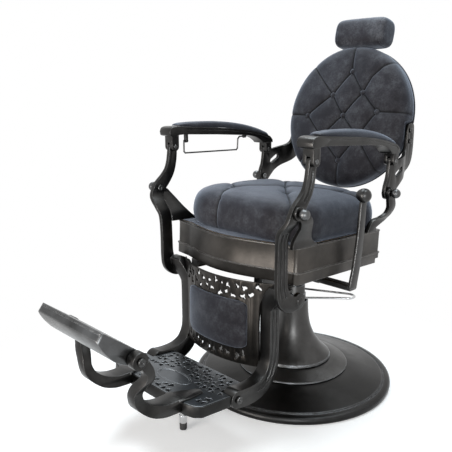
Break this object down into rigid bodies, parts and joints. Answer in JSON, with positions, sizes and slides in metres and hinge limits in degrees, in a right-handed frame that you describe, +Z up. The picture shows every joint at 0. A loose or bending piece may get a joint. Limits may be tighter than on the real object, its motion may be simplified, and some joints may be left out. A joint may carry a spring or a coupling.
{
  "type": "hydraulic barber chair",
  "caption": "Hydraulic barber chair with a round tufted back, a pierced footplate with a flip-over flap, and a linked recline.",
  "frame": {"origin": "on the floor, at the centre of the base disc's underside", "axes": "+Z up; the chair's front faces -Y; +X is the sitter's left"},
  "size_m": [0.66, 1.2398, 1.198],
  "materials": {
    "casting": "antique pewter, brushed",
    "casting_light": "antique pewter with lighter worn highlights",
    "base_iron": "dark brushed gunmetal",
    "steel": "polished",
    "dark_steel": "dark, satin",
    "leather": "distressed, napped",
    "rubber": "matt",
    "wood": "plain board"
  },
  "bodies": {
    "base": {"base_disc": "base_iron", "base_step": "base_iron", "bell_cover": "base_iron", "pump_body": "base_iron"},
    "pump_pedal": {"pump_lever": "steel"},
    "ram": {"lift_ram": "steel"},
    "seat": {"swivel_hub": "dark_steel", "seat_rails": "dark_steel", "seat_frame": "casting_light", "seat_board": "wood", "seat_cushion": "leather", "front_bracket_l": "casting", "front_bracket_r": "casting", "rear_standard_l": "casting", "rear_standard_r": "casting", "pivot_pins": "dark_steel"},
    "recline_control": {"recline_lever": "dark_steel", "recline_knob": "dark_steel"},
    "legrest": {"front_post_l": "casting", "front_post_r": "casting", "legrest_panel": "casting_light", "legrest_pad": "leather", "footplate_bolts": "dark_steel"},
    "footrest": {"footplate": "casting_light", "gooseneck_l": "casting", "gooseneck_r": "casting", "prop_leg": "steel", "prop_foot": "rubber"},
    "foot_flap": {"flap": "casting", "flap_bolts": "dark_steel"},
    "back": {"back_bracket_l": "casting", "back_bracket_r": "casting", "back_bolts": "dark_steel", "back_shell": "leather", "back_cushion": "leather", "head_socket": "dark_steel"},
    "headrest": {"head_stem": "steel", "head_cushion": "leather"},
    "arm_l": {"armrest_l": "casting", "arm_pad_l": "leather", "arm_pins_l": "steel"},
    "arm_r": {"armrest_r": "casting", "arm_pad_r": "leather", "arm_pins_r": "steel"},
    "towel_bail": {"towel_bar": "dark_steel"}
  },
  "joints": [
    {"name": "lift", "type": "slide", "parent": "base", "child": "ram", "axis": [0, 0, 1], "range_m": [0, 0.15]},
    {"name": "pump_press", "type": "hinge", "parent": "base", "child": "pump_pedal", "pos_m": [0, 0, 0.296], "axis": [-0.3746, 0.9272, 0], "range_deg": [0, 16], "stiffness_Nm_per_rad": 2, "springref_deg": -22.92},
    {"name": "swivel", "type": "hinge", "parent": "ram", "child": "seat", "pos_m": [0, 0, 0.36], "axis": [0, 0, 1], "continuous": true},
    {"name": "recline_release", "type": "hinge", "parent": "seat", "child": "recline_control", "pos_m": [0.2, -0.078, 0.402], "axis": [-1, 0, 0], "range_deg": [0, 12], "stiffness_Nm_per_rad": 8, "springref_deg": -14.32},
    {"name": "legrest_swing", "type": "hinge", "parent": "seat", "child": "legrest", "pos_m": [0, -0.347, 0.662], "axis": [-1, 0, 0], "range_deg": [0, 32]},
    {"name": "back_recline", "type": "hinge", "parent": "seat", "child": "back", "pos_m": [0, 0.12, 0.655], "axis": [-1, 0, 0], "range_deg": [0, 40]},
    {"name": "arm_l_tilt", "type": "hinge", "parent": "legrest", "child": "arm_l", "pos_m": [0, -0.289, 0.787], "axis": [-1, 0, 0], "range_deg": [-35, 0]},
    {"name": "arm_r_tilt", "type": "hinge", "parent": "legrest", "child": "arm_r", "pos_m": [0, -0.289, 0.787], "axis": [-1, 0, 0], "range_deg": [-35, 0]},
    {"name": "towel_swing", "type": "hinge", "parent": "arm_r", "child": "towel_bail", "pos_m": [-0.269, -0.1, 0.802], "axis": [0, 1, 0], "range_deg": [-50, 50]},
    {"name": "footrest_fold", "type": "hinge", "parent": "legrest", "child": "footrest", "pos_m": [0, -0.458, 0.157], "axis": [-1, 0, 0], "range_deg": [0, 50]},
    {"name": "flap_flip", "type": "hinge", "parent": "footrest", "child": "foot_flap", "pos_m": [0, -0.751, 0.358], "axis": [-1, 0, 0], "range_deg": [0, 150]},
    {"name": "headrest_height", "type": "slide", "parent": "back", "child": "headrest", "axis": [0, 0.2215, 0.9751], "range_m": [0, 0.07]}
  ],
  "couplings": [
    {"joint": "back_recline", "follows": "legrest_swing", "ratio": 1.2441},
    {"joint": "arm_l_tilt", "follows": "legrest_swing", "ratio": -1.0863},
    {"joint": "arm_r_tilt", "follows": "legrest_swing", "ratio": -1.0863}
  ]
}
